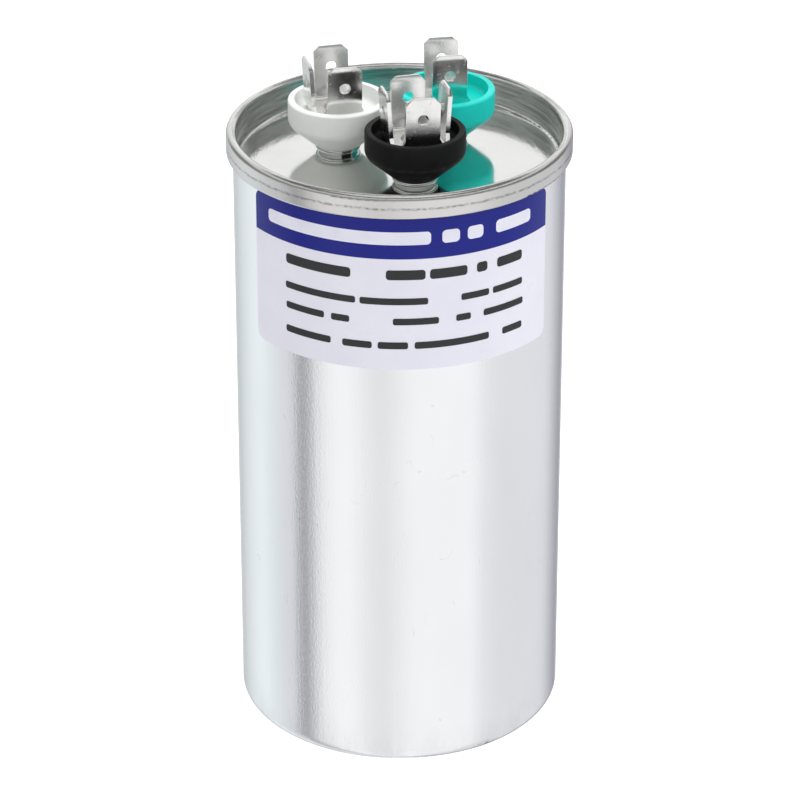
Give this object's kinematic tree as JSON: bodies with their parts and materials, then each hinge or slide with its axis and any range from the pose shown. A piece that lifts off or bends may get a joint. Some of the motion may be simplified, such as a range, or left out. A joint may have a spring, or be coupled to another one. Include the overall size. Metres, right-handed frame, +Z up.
{
  "type": "motor run capacitor",
  "caption": "Round seamed aluminium can with a recessed lid; insulated cups on the lid carry crowns of quick-connect blades for running a motor's windings.",
  "frame": {"origin": "centre of the can's flat base, on the can's axis", "axes": "+Z up along the can's axis, from the base to the blades; -Y towards the label's middle, 1 degree off; +X to the right of the label"},
  "size_m": [0.0624, 0.0624, 0.1277],
  "materials": {
    "can": "drawn and lightly brushed along its height",
    "lid": "bright tinplate, near mirror",
    "label": "printed film, satin",
    "black_phenolic": "matt moulding",
    "white_plastic": "satin moulding",
    "green_plastic": "satin moulding",
    "tinned_brass": "bright tinned sheet with a fine grain",
    "rivet_steel": "tinned",
    "gasket_rubber": "matt",
    "washer_board": "laminate",
    "lug_brass": "tinned brass",
    "black_lead": "insulated wire",
    "white_lead": "insulated wire",
    "green_lead": "insulated wire",
    "solder": "dull",
    "film": "wound metallised film",
    "natural_plastic": "natural polypropylene",
    "zinc_spray": "sprayed zinc, rough",
    "copper": "copper strip"
  },
  "bodies": {
    "root": {"can": "can", "lid": "lid", "label": "label", "black_insulator": "black_phenolic", "white_insulator": "white_plastic", "green_insulator": "green_plastic", "black_crown": "tinned_brass", "white_crown": "tinned_brass", "green_crown": "tinned_brass", "terminal_rivets": "rivet_steel", "black_gasket": "gasket_rubber", "white_gasket": "gasket_rubber", "green_gasket": "gasket_rubber", "black_washer": "washer_board", "white_washer": "washer_board", "green_washer": "washer_board", "black_lug": "lug_brass", "white_lug": "lug_brass", "green_lug": "lug_brass", "common_lead": "black_lead", "main_lead": "white_lead", "fan_lead": "green_lead", "solder_joints": "solder", "main_winding": "film", "main_core": "natural_plastic", "main_end_sprays": "zinc_spray", "fan_winding": "film", "fan_core": "natural_plastic", "fan_end_sprays": "zinc_spray", "common_link": "copper", "base_strip": "copper", "base_pad": "natural_plastic", "deck": "natural_plastic", "liner": "natural_plastic", "top_spacer": "natural_plastic"}
  },
  "joints": []
}
